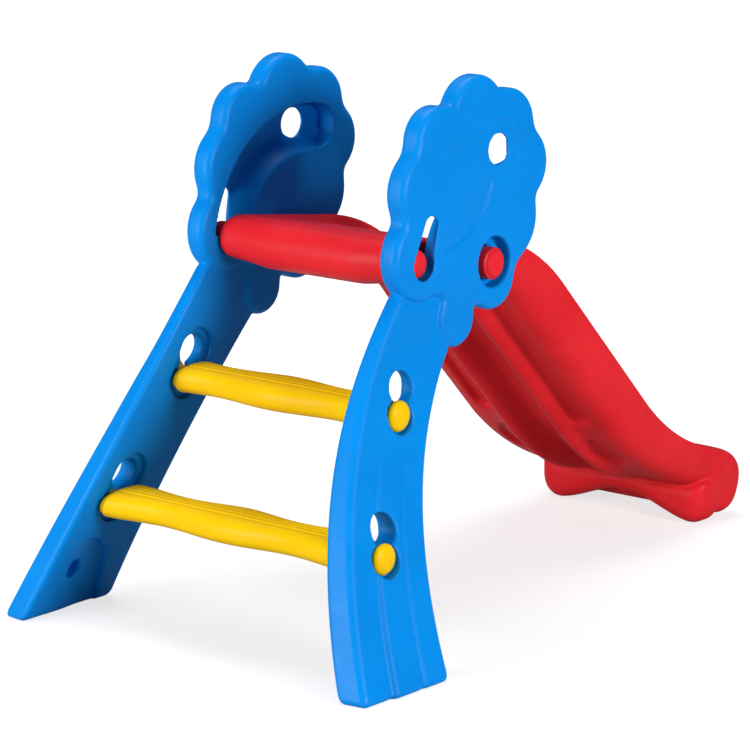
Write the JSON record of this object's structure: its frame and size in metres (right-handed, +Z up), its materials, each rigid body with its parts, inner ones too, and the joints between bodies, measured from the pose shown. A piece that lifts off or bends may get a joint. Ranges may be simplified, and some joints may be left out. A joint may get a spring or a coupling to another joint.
{
  "type": "toddler slide",
  "caption": "Folding indoor toddler slide: scalloped side panels joined by ladder steps, carrying a one-piece deck and chute that hinges on pegs.",
  "frame": {"origin": "centre of the part's length and width, on the floor it stands on", "axes": "+X from the ladder to the chute's exit, +Y to the left panel as a child faces down the chute, +Z up"},
  "size_m": [1.0607, 0.628, 0.715],
  "materials": {
    "blue_plastic": "satin",
    "red_plastic": "satin",
    "yellow_plastic": "satin"
  },
  "bodies": {
    "frame": {"left_side_panel": "blue_plastic", "right_side_panel": "blue_plastic", "upper_step": "yellow_plastic", "lower_step": "yellow_plastic"},
    "chute": {"slide": "red_plastic"}
  },
  "joints": [
    {"name": "slide_fold", "type": "hinge", "parent": "frame", "child": "chute", "pos_m": [-0.10796, 0, 0.468], "axis": [0, 1, 0], "range_deg": [0, 85]}
  ]
}
